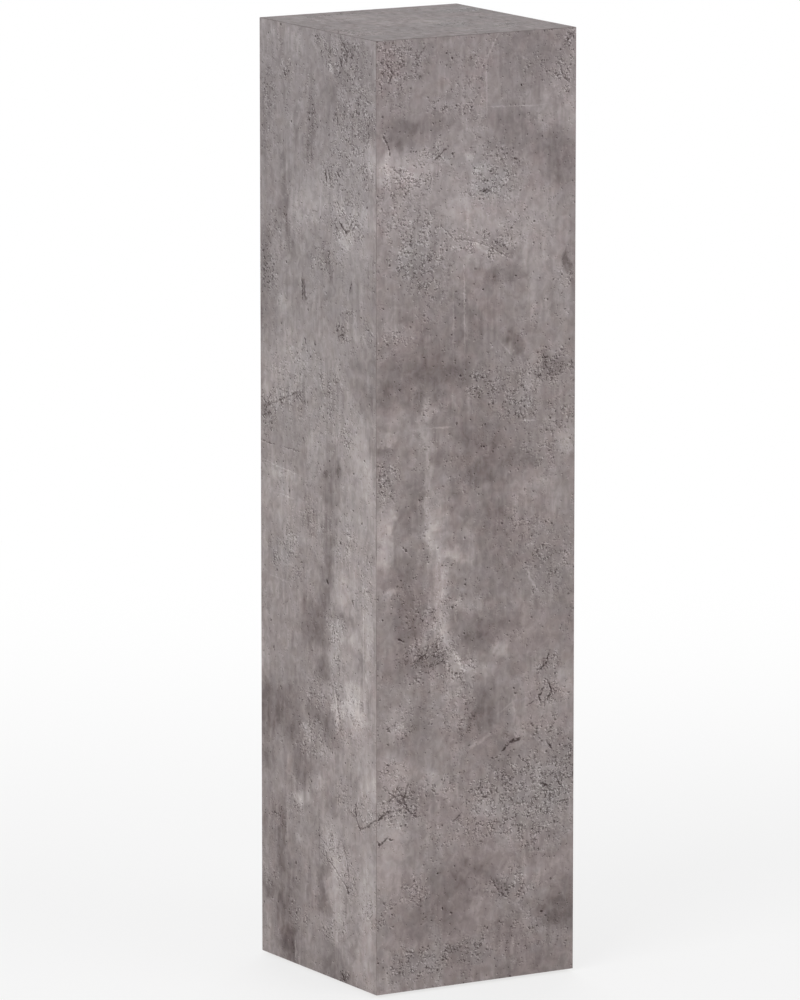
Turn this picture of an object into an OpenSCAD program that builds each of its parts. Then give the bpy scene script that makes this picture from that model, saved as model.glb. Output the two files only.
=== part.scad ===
// Pillar side table: a tall square case of laminated boards, mitred at every outer edge.
// The foot centre is the origin, +Z is up, and the front face looks towards -Y.

/* [Pillar] */
// Width of the square pillar, over its laminate
pillar_w = 240; // [200:1:320]
// Height from the floor to the top face
pillar_h = 1000; // [600:1:1200]

/* [Laminate] */
// Thickness of the decorative laminate outside
laminate_t = 0.8; // [0.6:0.1:1.2]
// Thickness of the backing laminate inside
backer_t = 0.6; // [0.4:0.1:1.0]
// Width taken off each face where its edge is eased
arris = 0.6; // [0.2:0.1:0.8]

/* [Boards] */
// Thickness of the case boards
board_t = 16; // [14:1:19]
// Thickness of the base board
base_t = 16; // [14:1:19]
// Gap between the base board and the case around it
base_gap = 0.5; // [0.2:0.1:1.5]
// Height of the base board above the lower edge of the case
base_recess = 3; // [1:0.5:4]

/* [Splines] */
// Thickness of the loose tongues in the mitres
spline_t = 4; // [3:0.5:5]
// Width of the loose tongues, across the joint
spline_w = 12; // [9:0.5:13]
// Room round a tongue in its groove
spline_slack = 0.1; // [0.05:0.05:0.2]
// Length left solid between the grooves at a top corner
spline_stop = 14; // [10:1:30]
// Room at each end of a tongue
spline_end = 1; // [0.5:0.5:3]

/* [Cleats and corner blocks] */
// Side of the square cleats that hold the base board
cleat_side = 20; // [18:1:26]
// Gap between the ends of neighbouring cleats
cleat_gap = 0.5; // [0.2:0.1:1.5]
// Width of a corner block along each wall
block_w = 25; // [18:1:35]
// Height of a corner block
block_h = 60; // [40:1:100]
// Flat left on the thin edges of a corner block
block_edge = 3; // [2:0.5:5]

/* [Screws] */
// Thread diameter of the wood screws
screw_d = 4; // [3:0.5:4.5]
// Head diameter of the wood screws
screw_head_d = 8; // [7:0.5:9]
// Length of the wood screws
screw_len = 30; // [26:1:32]
// Length of the screw point
screw_point = 4; // [2:0.5:6]
// Diameter left at the tip of the screw point
screw_tip_d = 0.6; // [0.4:0.1:1]
// Width of the slots in the cross recess
recess_w = 1.2; // [0.8:0.1:1.6]
// Distance of each cleat's outer screws from its middle
cleat_screw_x = 55; // [30:1:62]
// Room round a screw in its hole
screw_slack = 0.05; // [0.02:0.01:0.1]

/* [Glides] */
// Diameter of the nail-on glides
glide_d = 22; // [16:1:28]
// Height of the glides
glide_h = 6; // [5:0.5:9]
// Radius that rounds the glides' lower edge
glide_round = 1.5; // [0.5:0.5:2]
// Distance from the edge of the base board to a glide's centre
glide_inset = 22; // [18:1:40]
// Shank diameter of the nails
nail_d = 2.4; // [1.8:0.2:3]
// Length of nail in the base board
nail_grip = 11; // [8:1:12]
// Head diameter of the nails, moulded into the glides
nail_head_d = 7; // [5:0.5:9]
// Head thickness of the nails
nail_head_t = 1.2; // [0.8:0.2:1.6]
// Nylon left below the nail heads
nail_cover = 2; // [1:0.5:2.5]

/* [Hidden] */
$fn = 48;

eps = 1;                                   // how far a cutting shape runs past what it cuts
laminate_o = pillar_w / 2;                 // half width over the laminate
board_o = laminate_o - laminate_t;         // half width over the boards
backer_o = board_o - board_t;              // half width over the backing laminate
inner = backer_o - backer_t;               // half width of the space inside

laminate_z = pillar_h;                     // top of each top layer
board_z = laminate_z - laminate_t;
backer_z = board_z - board_t;
inner_z = backer_z - backer_t;

foot_gap = glide_h - base_recess;          // lower edge of the case above the floor
base_z = glide_h;                          // underside of the base board
cleat_z = base_z + base_t;                 // underside of the cleats
base_o = inner - base_gap;                 // half width of the base board

spline_in = board_t * 5 / 8;               // spline centre, from the outer corner of the boards
groove_t = spline_t + 2 * spline_slack;
groove_w = spline_w + 2 * spline_slack;
upright_top = backer_z - spline_stop;      // top of the upright grooves
top_groove_l = 2 * (backer_o - spline_stop);

glide_at = base_o - glide_inset;           // glide centres, from the middle of the pillar
screw_head_h = (screw_head_d - screw_d) / 2;

laminate_colour = [0.57, 0.545, 0.54];
backer_colour = [0.44, 0.41, 0.39];
board_colour = [0.66, 0.53, 0.38];
softwood_colour = [0.83, 0.7, 0.5];
hardwood_colour = [0.72, 0.52, 0.34];
zinc_colour = [0.75, 0.74, 0.68];
nylon_colour = [0.2, 0.19, 0.18];

// Sides and corners of the pillar, each a quarter turn on from the one before
sides = ["front", "right", "back", "left"];
corners = ["front_left", "front_right", "back_right", "back_left"];

// Turns a shape made at the front round to another side
module on_side(side) {
    rotate([0, 0, 90 * search([side], sides)[0]])
        children();
}

// Turns a shape made at the front left corner round to another corner
module on_corner(corner) {
    rotate([0, 0, 90 * search([corner], corners)[0]])
        children();
}

// Extrudes an outline drawn as (y, z) along X, both ways from the middle
module along_x(half_l) {
    rotate([90, 0, 90])
        linear_extrude(2 * half_l, center = true)
            children();
}

// Half of a mitred layer's end: from its inner corner, over the eased arris, to the face
function mitre_end(o, t, ease) =
    ease > 0
    ? [[o - t, t], [o - ease / 2, ease / 2], [o - ease, 0]]
    : [[o - t, t], [o, 0]];

// A layer seen along its length: both ends mitred and the face at depth 0
function mitred_outline(o, t, ease) =
    let (end = mitre_end(o, t, ease))
    concat(end, [for (i = [len(end) - 1:-1:0]) [-end[i][0], end[i][1]]]);

// One upright layer at the front: mitred at both sides and at the top, square at the foot
module wall_layer(o, top, t, ease = 0) {
    intersection() {
        translate([0, 0, foot_gap])
            linear_extrude(top - foot_gap)
                polygon([for (p = mitred_outline(o, t, ease)) [p[0], p[1] - o]]);
        along_x(o + eps)
            polygon(concat(
                [for (p = mitre_end(top, t, ease)) [p[1] - o, p[0]]],
                [[-o, foot_gap], [t - o, foot_gap]]
            ));
    }
}

// One layer of the top: mitred all round
module top_layer(o, top, t, ease = 0) {
    outline = [for (p = mitred_outline(o, t, ease)) [p[0], top - p[1]]];
    intersection() {
        along_x(o + eps)
            polygon(outline);
        rotate([0, 0, 90])
            along_x(o + eps)
                polygon(outline);
    }
}

// Bar that lies square across the mitre of the front left corner
module corner_bar(t, w, bottom, top) {
    translate([spline_in - board_o, spline_in - board_o, bottom])
        rotate([0, 0, 45])
            translate([-t / 2, -w / 2, 0])
                cube([t, w, top - bottom]);
}

// Bar that lies square across the mitre between the front and the top
module top_bar(t, w, l) {
    translate([0, spline_in - board_o, board_z - spline_in])
        rotate([45, 0, 0])
            cube([l, w, t], center = true);
}

// Countersunk wood screw along +Z, its head's face at the origin
module screw_shape(slack = 0) {
    r = screw_d / 2 + slack;
    head_r = screw_head_d / 2 + slack;
    rotate_extrude()
        polygon([
            [0, 0], [head_r, 0], [r, head_r - r], [r, screw_len - screw_point + slack],
            [screw_tip_d / 2, screw_len + slack], [0, screw_len + slack]
        ]);
}

// Places a screw shape through each end of the front cleat, its head inside the case
module at_cleat_screws() {
    for (x = [-cleat_screw_x, cleat_screw_x])
        translate([x, cleat_side - inner, cleat_z + cleat_side / 2])
            rotate([90, 0, 0])
                children();
}

// Places a screw shape up through the base board into the middle of the front cleat
module at_base_screw() {
    translate([0, cleat_side / 2 - inner, base_z])
        children();
}

// Cross recess in the head of a screw
module screw_recess() {
    for (turn = [0, 90])
        rotate([0, 0, turn])
            translate([-screw_head_d / 4, -recess_w / 2, -eps])
                cube([screw_head_d / 2, recess_w, screw_head_h * 0.8 + eps]);
}

module wood_screw() {
    color(zinc_colour)
        difference() {
            screw_shape();
            screw_recess();
        }
}

module laminate(side) {
    color(laminate_colour)
        on_side(side)
            wall_layer(laminate_o, laminate_z, laminate_t, arris);
}

module top_laminate() {
    color(laminate_colour)
        top_layer(laminate_o, laminate_z, laminate_t, arris);
}

// Case board, with a groove in each mitre and pilot holes for the screws of its cleat
module panel(side) {
    color(board_colour)
        on_side(side)
            difference() {
                wall_layer(board_o, board_z, board_t);
                for (corner = ["front_left", "front_right"])
                    on_corner(corner)
                        corner_bar(groove_t, groove_w, foot_gap - eps, upright_top);
                top_bar(groove_t, groove_w, top_groove_l);
                at_cleat_screws()
                    screw_shape(screw_slack);
            }
}

module top_panel() {
    color(board_colour)
        difference() {
            top_layer(board_o, board_z, board_t);
            for (side = sides)
                on_side(side)
                    top_bar(groove_t, groove_w, top_groove_l);
        }
}

// Backing laminate, with a clearance hole where each screw of the cleat passes
module backer(side) {
    color(backer_colour)
        on_side(side)
            difference() {
                wall_layer(backer_o, backer_z, backer_t);
                at_cleat_screws()
                    screw_shape(screw_slack);
            }
}

module top_backer() {
    color(backer_colour)
        top_layer(backer_o, backer_z, backer_t);
}

module upright_spline(corner) {
    color(hardwood_colour)
        on_corner(corner)
            corner_bar(spline_t, spline_w, foot_gap, upright_top - spline_end);
}

module top_spline(side) {
    color(hardwood_colour)
        on_side(side)
            top_bar(spline_t, spline_w, top_groove_l - 2 * spline_end);
}

// Glue block in a top corner: a right-angled corner piece with its thin edges cut off
module corner_block(corner) {
    color(softwood_colour)
        on_corner(corner)
            translate([-inner, -inner, inner_z - block_h])
                linear_extrude(block_h)
                    polygon([
                        [0, 0], [block_w, 0], [block_w, block_edge],
                        [block_edge, block_w], [0, block_w]
                    ]);
}

// Cleat round the foot of the case. Front and back run the full width and the sides fit between.
module cleat(side) {
    full = side == "front" || side == "back";
    half_l = full ? inner : inner - cleat_side - cleat_gap;
    color(softwood_colour)
        on_side(side)
            difference() {
                translate([-half_l, -inner, cleat_z])
                    cube([2 * half_l, cleat_side, cleat_side]);
                at_cleat_screws()
                    screw_shape(screw_slack);
                at_base_screw()
                    screw_shape(screw_slack);
            }
}

module cleat_screws() {
    for (side = sides)
        on_side(side)
            at_cleat_screws()
                wood_screw();
}

module base_panel() {
    color(board_colour)
        difference() {
            translate([-base_o, -base_o, base_z])
                cube([2 * base_o, 2 * base_o, base_t]);
            for (side = sides)
                on_side(side)
                    at_base_screw()
                        screw_shape(screw_slack);
            for (corner = corners)
                on_corner(corner)
                    translate([-glide_at, -glide_at, base_z - eps])
                        cylinder(d = nail_d + 2 * screw_slack, h = nail_grip + screw_slack + eps);
        }
}

module base_screws() {
    for (side = sides)
        on_side(side)
            at_base_screw()
                wood_screw();
}

// Nail, from its head inside the glide to its point in the base board
module nail(slack = 0) {
    color(zinc_colour)
        translate([-glide_at, -glide_at, 0]) {
            translate([0, 0, nail_cover - slack])
                cylinder(d = nail_head_d + 2 * slack, h = nail_head_t + 2 * slack);
            translate([0, 0, nail_cover])
                cylinder(d = nail_d + 2 * slack, h = glide_h - nail_cover + nail_grip);
        }
}

// Nail-on glide: a nylon puck with a rounded lower edge, moulded round the nail's head
module glide(corner) {
    r = glide_d / 2;
    color(nylon_colour)
        on_corner(corner)
            difference() {
                translate([-glide_at, -glide_at, 0])
                    rotate_extrude()
                        polygon(concat(
                            [[0, 0]],
                            [for (a = [0:15:90])
                                [r - glide_round * (1 - sin(a)), glide_round * (1 - cos(a))]],
                            [[r, glide_h], [0, glide_h]]
                        ));
                nail(screw_slack);
            }
}

module glide_nails() {
    for (corner = corners)
        on_corner(corner)
            nail();
}

laminate("front");  // front_laminate
laminate("right");  // right_laminate
laminate("back");  // back_laminate
laminate("left");  // left_laminate
top_laminate();
panel("front");  // front_panel
panel("right");  // right_panel
panel("back");  // back_panel
panel("left");  // left_panel
top_panel();
backer("front");  // front_backer
backer("right");  // right_backer
backer("back");  // back_backer
backer("left");  // left_backer
top_backer();
upright_spline("front_left");  // front_left_spline
upright_spline("front_right");  // front_right_spline
upright_spline("back_right");  // back_right_spline
upright_spline("back_left");  // back_left_spline
top_spline("front");  // top_front_spline
top_spline("right");  // top_right_spline
top_spline("back");  // top_back_spline
top_spline("left");  // top_left_spline
corner_block("front_left");  // front_left_block
corner_block("front_right");  // front_right_block
corner_block("back_right");  // back_right_block
corner_block("back_left");  // back_left_block
base_panel();
cleat("front");  // front_cleat
cleat("right");  // right_cleat
cleat("back");  // back_cleat
cleat("left");  // left_cleat
cleat_screws();
base_screws();
glide("front_left");  // front_left_glide
glide("front_right");  // front_right_glide
glide("back_right");  // back_right_glide
glide("back_left");  // back_left_glide
glide_nails();
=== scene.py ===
import math
import random

import bmesh
import bpy
from mathutils import Matrix, Vector


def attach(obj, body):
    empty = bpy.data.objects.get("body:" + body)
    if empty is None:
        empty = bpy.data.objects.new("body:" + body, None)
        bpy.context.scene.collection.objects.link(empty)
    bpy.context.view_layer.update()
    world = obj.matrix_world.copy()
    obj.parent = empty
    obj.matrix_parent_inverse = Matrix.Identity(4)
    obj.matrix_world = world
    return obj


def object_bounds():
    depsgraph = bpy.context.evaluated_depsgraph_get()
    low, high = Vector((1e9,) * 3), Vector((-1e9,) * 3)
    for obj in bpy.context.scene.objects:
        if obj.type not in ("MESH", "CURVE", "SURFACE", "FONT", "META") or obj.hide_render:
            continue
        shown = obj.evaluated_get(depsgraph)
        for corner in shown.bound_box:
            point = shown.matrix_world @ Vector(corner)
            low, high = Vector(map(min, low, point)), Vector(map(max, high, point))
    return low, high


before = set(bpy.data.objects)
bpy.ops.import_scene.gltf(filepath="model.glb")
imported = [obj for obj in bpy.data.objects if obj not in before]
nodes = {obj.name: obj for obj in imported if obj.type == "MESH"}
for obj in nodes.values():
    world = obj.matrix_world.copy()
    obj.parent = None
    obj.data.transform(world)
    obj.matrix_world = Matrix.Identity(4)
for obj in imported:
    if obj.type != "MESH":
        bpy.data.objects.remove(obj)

cadLow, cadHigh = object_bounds()
print("frame: %d nodes" % len(nodes))

sides = ["front", "right", "back", "left"]      # the four sides of the case
mm = 0.001

# Pillar sizes for the materials, read off the frame
pillar = {
    "half": cadHigh[0] / mm,            # centre to face, mm
    "top": cadHigh[2] / mm,             # floor to top face, mm
}


# Node helpers: an input may be a number, a colour, a vector or another node's output

def wire(tree, value, socket):
    if isinstance(value, bpy.types.NodeSocket):
        tree.links.new(value, socket)
    else:
        socket.default_value = value


def put(tree, kind, inputs=None, **settings):
    node = tree.nodes.new("ShaderNode" + kind)
    count = len(tree.nodes)
    node.location = (190 * (count % 14), -230 * (count // 14))
    for name, value in settings.items():
        setattr(node, name, value)
    for key, value in (inputs or {}).items():
        wire(tree, value, node.inputs[key])
    return node


def calc(tree, operation, *values):
    return put(tree, "Math", dict(enumerate(values)), operation=operation).outputs[0]


def plus(tree, first, second):
    return calc(tree, "ADD", first, second)


def minus(tree, first, second):
    return calc(tree, "SUBTRACT", first, second)


def times(tree, first, second):
    return calc(tree, "MULTIPLY", first, second)


def vector(tree, operation, *values):
    node = put(tree, "VectorMath", dict(enumerate(values)), operation=operation)
    return node.outputs["Value" if operation in ("LENGTH", "DOT_PRODUCT") else "Vector"]


def ramp(tree, value, fromMin, fromMax, toMin=0.0, toMax=1.0, smooth=True):
    inputs = {"Value": value, "From Min": fromMin, "From Max": fromMax, "To Min": toMin, "To Max": toMax}
    kind = "SMOOTHSTEP" if smooth else "LINEAR"
    return put(tree, "MapRange", inputs, interpolation_type=kind).outputs["Result"]


def mixColours(tree, factor, first, second, blend="MIX"):
    node = put(tree, "Mix", {0: factor, 6: first, 7: second}, data_type="RGBA", blend_type=blend)
    return node.outputs[2]


def noise(tree, coords, size, detail=3.0, roughness=0.55, distortion=0.0, flat="3D", output="Fac"):
    inputs = {
        "Vector": coords, "Scale": 1 / size, "Detail": detail, "Roughness": roughness,
        "Distortion": distortion}
    return put(tree, "TexNoise", inputs, noise_dimensions=flat).outputs[output]


def stretch(tree, coords, factors):
    return vector(tree, "MULTIPLY", coords, factors)


def useGroup(tree, group, inputs):
    node = put(tree, "Group")
    node.node_tree = group
    for name, value in inputs.items():
        wire(tree, value, node.inputs[name])
    return node.outputs


def makeGroup(name, inputs, outputs):
    group = bpy.data.node_groups.new(name, "ShaderNodeTree")
    for label, value in inputs.items():
        kind = "NodeSocketVector" if isinstance(value, tuple) else "NodeSocketFloat"
        socket = group.interface.new_socket(name=label, in_out="INPUT", socket_type=kind)
        socket.default_value = value
    for label, kind in outputs.items():
        group.interface.new_socket(name=label, in_out="OUTPUT", socket_type="NodeSocket" + kind)
    start = group.nodes.new("NodeGroupInput").outputs
    end = group.nodes.new("NodeGroupOutput").inputs
    return group, start, end


def srgb(red, green, blue):
    return tuple(((c / 255 + 0.055) / 1.055) ** 2.4 if c > 10 else c / 255 / 12.92
                 for c in (red, green, blue)) + (1.0,)


def emptyTree(owner):
    owner.use_nodes = True
    owner.node_tree.nodes.clear()
    return owner.node_tree


def startMaterial(name):
    material = bpy.data.materials.new(name)
    tree = emptyTree(material)
    return material, tree, put(tree, "TexCoord").outputs["Object"]


def inMm(tree, place, turn=(0, 0, 0)):
    # a place on the piece after a turn in degrees
    angles = tuple(math.radians(angle) for angle in turn)
    inputs = {"Vector": place, "Rotation": angles, "Scale": (1 / mm, 1 / mm, 1 / mm)}
    return put(tree, "Mapping", inputs).outputs["Vector"]


def finishMaterial(tree, look, colour, rough, height):
    inputs = {"Height": height, "Strength": look["bump"], "Distance": look["relief"] * mm}
    bump = put(tree, "Bump", inputs).outputs["Normal"]
    shader = put(tree, "BsdfPrincipled", {
        "Base Color": colour, "Roughness": rough, "Normal": bump,
        "Specular IOR Level": look["sheen"], "Metallic": look.get("metallic", 0.0)})
    put(tree, "OutputMaterial", {"Surface": shader.outputs["BSDF"]})


# Shared effects of the decor. They work flat on a face, in mm: x across it, y up it.

def makeWobble():
    # pushes a pattern about, so that drawn shapes get natural edges
    group, start, end = makeGroup(
        "wobble", {"Vector": (0, 0, 0), "Size": 10.0, "Amount": 1.0}, {"Vector": "Vector"})
    fine = calc(group, "DIVIDE", 1.0, start["Size"])
    inputs = {"Vector": start["Vector"], "Scale": fine, "Detail": 3.0, "Roughness": 0.6}
    field = put(group, "TexNoise", inputs, noise_dimensions="2D").outputs["Color"]
    push = vector(group, "SUBTRACT", field, (0.5, 0.5, 0.5))
    scaled = put(group, "VectorMath", {0: push, "Scale": start["Amount"]}, operation="SCALE")
    wire(group, vector(group, "ADD", start["Vector"], scaled.outputs["Vector"]), end["Vector"])
    return group


def pushed(tree, coords, amounts):
    size, amount = amounts
    return useGroup(tree, wobble, {"Vector": coords, "Size": size, "Amount": amount})[0]


# The two shapes that marks are drawn with. Both keep to plain vector maths, few nodes and this order:
# the long rows of them in a face overfill the render's shader stack otherwise.

def makeStain():
    # one upright soft ellipse: half strength on its outline, wider apart the softer it is
    group, start, end = makeGroup(
        "stain",
        {"Vector": (0, 0, 0), "Shrink": (1, 1, 0), "Shift": (0, 0, 0), "Softness": 1.0},
        {"Mask": "Float"})
    local = vector(group, "MULTIPLY_ADD", start["Vector"], start["Shrink"], start["Shift"])
    outer = plus(group, 1.0, start["Softness"])
    inner = minus(group, 1.0, start["Softness"])
    wire(group, ramp(group, vector(group, "LENGTH", local), outer, inner), end["Mask"])
    return group


def makeStroke():
    # the same at a slant: Along and Across are the two axes, each divided by its half length
    group, start, end = makeGroup(
        "stroke",
        {"Vector": (0, 0, 0), "Centre": (0, 0, 0), "Along": (1, 0, 0), "Across": (0, 1, 0), "Softness": 1.0},
        {"Mask": "Float"})
    offset = vector(group, "SUBTRACT", start["Vector"], start["Centre"])
    along = vector(group, "DOT_PRODUCT", offset, start["Along"])
    across = vector(group, "DOT_PRODUCT", offset, start["Across"])
    reach = calc(group, "MULTIPLY_ADD", across, across, times(group, along, along))
    outer = plus(group, 1.0, start["Softness"])
    inner = minus(group, 1.0, start["Softness"])
    wire(group, ramp(group, calc(group, "SQRT", reach), outer, inner), end["Mask"])
    return group


flaw = {
    "flakeSize": 3.4,                   # grain of the flaked spots, mm
    "flakeDepth": 0.62,                 # a full pit is 1
    # cell size, mm; least radius and its spread, as shares of a cell; share of cells filled; most depth
    "pits": (5.5, 0.06, 0.2, 0.38, 1.1),
    "dots": (2.9, 0.16, 0.16, 0.3, 0.95),
    "crackSize": 6.5,                   # distance between the bends of the hairline cracks, mm
    "crackBreaks": 5.0,                 # length of their stretches, mm
}


def makeFlaws():
    # one layer of broken surface: flaked spots, round pits, small dots and hairline cracks
    group, start, end = makeGroup(
        "flaws", {"Vector": (0, 0, 0), "Crowd": 0.3}, {"Depth": "Float", "Flecks": "Float"})
    coords, crowd = start["Vector"], start["Crowd"]
    flake = noise(group, coords, flaw["flakeSize"], 3, 0.72, flat="2D")
    limit = calc(group, "MULTIPLY_ADD", calc(group, "MINIMUM", crowd, 1.3), 0.13, 0.27)
    spots = ramp(group, flake, plus(group, limit, 0.03), minus(group, limit, 0.05))
    high = minus(group, 1.04, limit)
    flecks = ramp(group, flake, minus(group, high, 0.05), plus(group, high, 0.04))
    wire(group, flecks, end["Flecks"])

    def holes(cell, least, spread, share, most):
        inputs = {"Vector": coords, "Scale": 1 / cell}
        cells = put(group, "TexVoronoi", inputs, feature="F1", voronoi_dimensions="2D").outputs
        parts = put(group, "SeparateColor", {"Color": cells["Color"]}).outputs
        radius = calc(group, "MULTIPLY_ADD", calc(group, "POWER", parts["Red"], 1.6), spread, least)
        present = calc(group, "LESS_THAN", parts["Green"], calc(group, "MULTIPLY_ADD", crowd, share, 0.01))
        depth = times(group, present, calc(group, "MULTIPLY_ADD", parts["Blue"], 0.6, most - 0.6))
        inside = ramp(group, calc(group, "DIVIDE", cells["Distance"], radius), 1.3, 0.6)
        return times(group, inside, depth)

    depth = calc(group, "MAXIMUM", times(group, spots, flaw["flakeDepth"]), holes(*flaw["pits"]))
    depth = calc(group, "MAXIMUM", depth, holes(*flaw["dots"]))
    # cracks follow the middle level of a noise, where another noise lets them
    level = noise(group, coords, flaw["crackSize"], 2, 0.6, flat="2D")
    line = ramp(group, calc(group, "ABSOLUTE", minus(group, level, 0.5)), 0.024, 0.007)
    allow = noise(group, coords, flaw["crackBreaks"], 2, flat="2D")
    threshold = calc(group, "MULTIPLY_ADD", crowd, -0.2, 0.68)
    allowed = ramp(group, minus(group, allow, threshold), 0.0, 0.04)
    wire(group, calc(group, "MAXIMUM", depth, times(group, line, allowed)), end["Depth"])
    return group


pore = {
    "wobble": (3.2, 3.4),               # size and amount of the push on the flaws, mm
    "rim": (0.8, 0.9, 0),               # a pale rim is a flaw seen this far aside, mm
    "clumpSize": 9,
    "grainSize": 2.6,
}


def makePores():
    # flaws that crowd together where Density is high, each with a pale rim on its lower left
    group, start, end = makeGroup(
        "pores", {"Vector": (0, 0, 0), "Density": 0.3},
        {"Pits": "Float", "Rims": "Float", "Flecks": "Float", "Grain": "Float"})
    coords = pushed(group, start["Vector"], pore["wobble"])
    beside = vector(group, "ADD", coords, pore["rim"])
    clump = noise(group, start["Vector"], pore["clumpSize"], 2, 0.6, flat="2D")
    crowd = times(group, start["Density"], ramp(group, clump, 0.38, 0.58, 0.05, 1.6))
    here = useGroup(group, flaws, {"Vector": coords, "Crowd": crowd})
    there = useGroup(group, flaws, {"Vector": beside, "Crowd": crowd})
    wire(group, here["Depth"], end["Pits"])
    free = minus(group, 1.0, here["Depth"])
    wire(group, times(group, there["Depth"], free), end["Rims"])
    few = calc(group, "MINIMUM", crowd, 1.0)
    wire(group, times(group, here["Flecks"], few), end["Flecks"])
    one = noise(group, coords, pore["grainSize"], 2, 0.6, flat="2D")
    other = noise(group, beside, pore["grainSize"], 2, 0.6, flat="2D")
    slope = minus(group, one, other)
    wire(group, times(group, slope, plus(group, few, 0.02)), end["Grain"])
    return group


plaster = {
    # squeeze sideways and upwards, size in mm, detail, roughness, distortion, grey levels
    "clouds": ((1, 0.7, 0), 90, 3, 0.6, 0.4, 36),
    "patches": ((1, 0.7, 0), 22, 3, 0.65, 0.8, 44),
    "blots": ((1, 0.8, 0), 8, 2, 0.5, 0.5, 38),
    "grit": ((1, 0.8, 0), 1.7, 1, 0.6, 0, 5),
    "fineStrokes": ((1, 0.12, 0), 2.4, 1, 0.5, 0, 11),
    "broadStrokes": ((1, 0.11, 0), 7, 2, 0.5, 0, 36),
    "strokeZones": 42,                  # size of the zones that have strokes, mm
    "hueDrift": 60,                     # size of the slow changes of hue, mm
    "huePatch": 17,                     # and of the small ones
    "pinkness": 1.0,
    "yellowness": 1.4,
}


def makeConcrete():
    # the decor without its own marks: clouds, patches, upright trowel strokes and fine grain
    group, start, end = makeGroup(
        "concrete", {"Vector": (0, 0, 0), "Clouds": 1.0, "Strokes": 1.0},
        {"Tone": "Float", "Fine": "Float", "Warmth": "Float", "Sallow": "Float"})
    coords = start["Vector"]

    def layer(kind):
        factors, size, detail, roughness, distortion, amount = plaster[kind]
        squeezed = stretch(group, coords, factors)
        field = noise(group, squeezed, size, detail, roughness, distortion, "2D")
        return times(group, minus(group, field, 0.5), amount)

    clouds = layer("clouds")
    patches = layer("patches")
    tone = times(group, plus(group, clouds, patches), start["Clouds"])
    blots = layer("blots")
    grit = layer("grit")
    where = ramp(group, noise(group, coords, plaster["strokeZones"], 2, flat="2D"), 0.4, 0.62)
    strokes = plus(group, layer("fineStrokes"), layer("broadStrokes"))
    strokes = times(group, times(group, strokes, where), start["Strokes"])
    fine = plus(group, plus(group, grit, blots), strokes)
    wire(group, plus(group, tone, fine), end["Tone"])
    wire(group, fine, end["Fine"])
    # the hue drifts slowly over the sheet and a little from patch to patch
    drift = minus(group, noise(group, coords, plaster["hueDrift"], 2, flat="2D"), 0.5)
    hues = noise(group, coords, plaster["huePatch"], 2, flat="2D", output="Color")
    hues = put(group, "SeparateColor", {"Color": hues}).outputs
    pink = minus(group, hues["Red"], 0.5)
    wire(group, calc(group, "MULTIPLY_ADD", pink, plaster["pinkness"], drift), end["Warmth"])
    yellow = minus(group, hues["Green"], 0.5)
    wire(group, times(group, yellow, plaster["yellowness"]), end["Sallow"])
    return group


def makeTimber():
    # planed wood, in mm, with the trunk's axis along z: growth rings, fibre and pores
    group, start, end = makeGroup(
        "timber", {"Vector": (0, 0, 0), "Pith": (0, 0, 0), "Ring": 3.0, "Waviness": 1.0},
        {"Ring": "Float", "Fibre": "Float", "Pores": "Float"})
    coords = start["Vector"]
    wander = noise(group, stretch(group, coords, (1, 1, 0.06)), 18, 2, 0.5, output="Color")
    wander = vector(group, "SUBTRACT", wander, (0.5, 0.5, 0.5))
    inputs = {0: wander, "Scale": times(group, start["Waviness"], 9.0)}
    wander = put(group, "VectorMath", inputs, operation="SCALE").outputs["Vector"]
    bent = vector(group, "ADD", vector(group, "SUBTRACT", coords, start["Pith"]), wander)
    away = vector(group, "LENGTH", stretch(group, bent, (1, 1, 0)))
    ring = calc(group, "FRACT", calc(group, "DIVIDE", away, start["Ring"]))
    # pale early wood darkens slowly to late wood, then starts again at once
    late = times(group, ramp(group, ring, 0.25, 0.9), ramp(group, ring, 1.0, 0.93))
    wire(group, late, end["Ring"])
    wire(group, noise(group, stretch(group, coords, (1, 1, 0.035)), 0.7, 3, 0.6), end["Fibre"])
    dots = noise(group, stretch(group, coords, (1, 1, 0.09)), 0.35, 1, 0.5)
    wire(group, ramp(group, dots, 0.64, 0.72), end["Pores"])
    return group


def makeFibreboard():
    # pressed wood fibre, in mm: pale and dark fibres lie across each other in a fine mottle
    group, start, end = makeGroup("fibreboard", {"Vector": (0, 0, 0)}, {"Tone": "Float", "Fibres": "Float"})
    coords = start["Vector"]
    mottle = noise(group, coords, 5, 4, 0.7)
    cloud = noise(group, coords, 45, 2)
    one = noise(group, stretch(group, coords, (1, 0.18, 0.5)), 0.5, 2, 0.6, 0.6)
    other = noise(group, stretch(group, coords, (0.2, 1, 0.4)), 0.5, 2, 0.6, 0.6)
    fibres = calc(group, "MAXIMUM", one, other)
    tone = plus(group, times(group, mottle, 0.7), times(group, cloud, 0.3))
    wire(group, tone, end["Tone"])
    wire(group, ramp(group, fibres, 0.45, 0.75), end["Fibres"])
    return group


wobble = makeWobble()
stain = makeStain()
stroke = makeStroke()
flaws = makeFlaws()
pores = makePores()
concrete = makeConcrete()
timber = makeTimber()
fibreboard = makeFibreboard()
print("node groups: made")


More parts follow.
